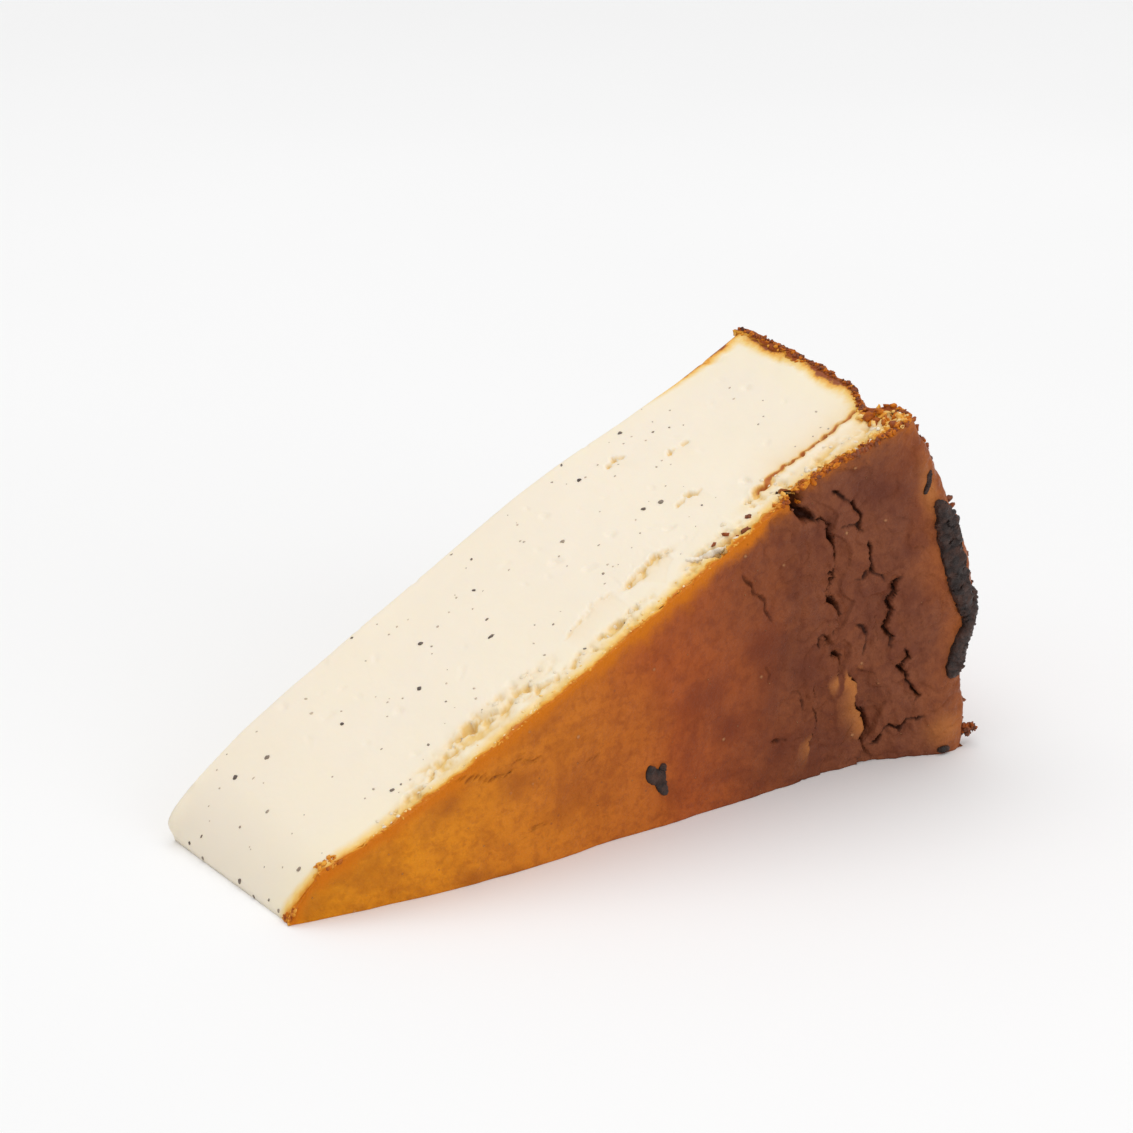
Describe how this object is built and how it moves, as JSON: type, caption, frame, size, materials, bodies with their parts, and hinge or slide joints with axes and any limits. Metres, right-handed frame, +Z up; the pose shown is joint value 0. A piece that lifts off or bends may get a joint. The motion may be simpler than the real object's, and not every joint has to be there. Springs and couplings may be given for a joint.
{
  "type": "baked cheesecake slice",
  "caption": "Wedge of baked cheesecake with a burnt, cracked top and raised rim, lying on its cut side.",
  "frame": {"origin": "under the middle of the slice's box, on the surface that the lower cut face lies on", "axes": "+X from the tip to the rim, -Y towards the browned top, +Y towards the cake's base, +Z up from the lower cut face"},
  "size_m": [0.1261, 0.05, 0.0608],
  "materials": {
    "crumb": "pale, dense and moist set cheese, smooth where the knife passed",
    "browned_crust": "thin browned skin, satin, amber in the middle to dark brown at the rim",
    "char": "burnt black crust, dull and rough",
    "vanilla": "dark vanilla seed flecks in the crumb"
  },
  "bodies": {
    "root": {"cheesecake_slice": "crumb"}
  },
  "joints": []
}
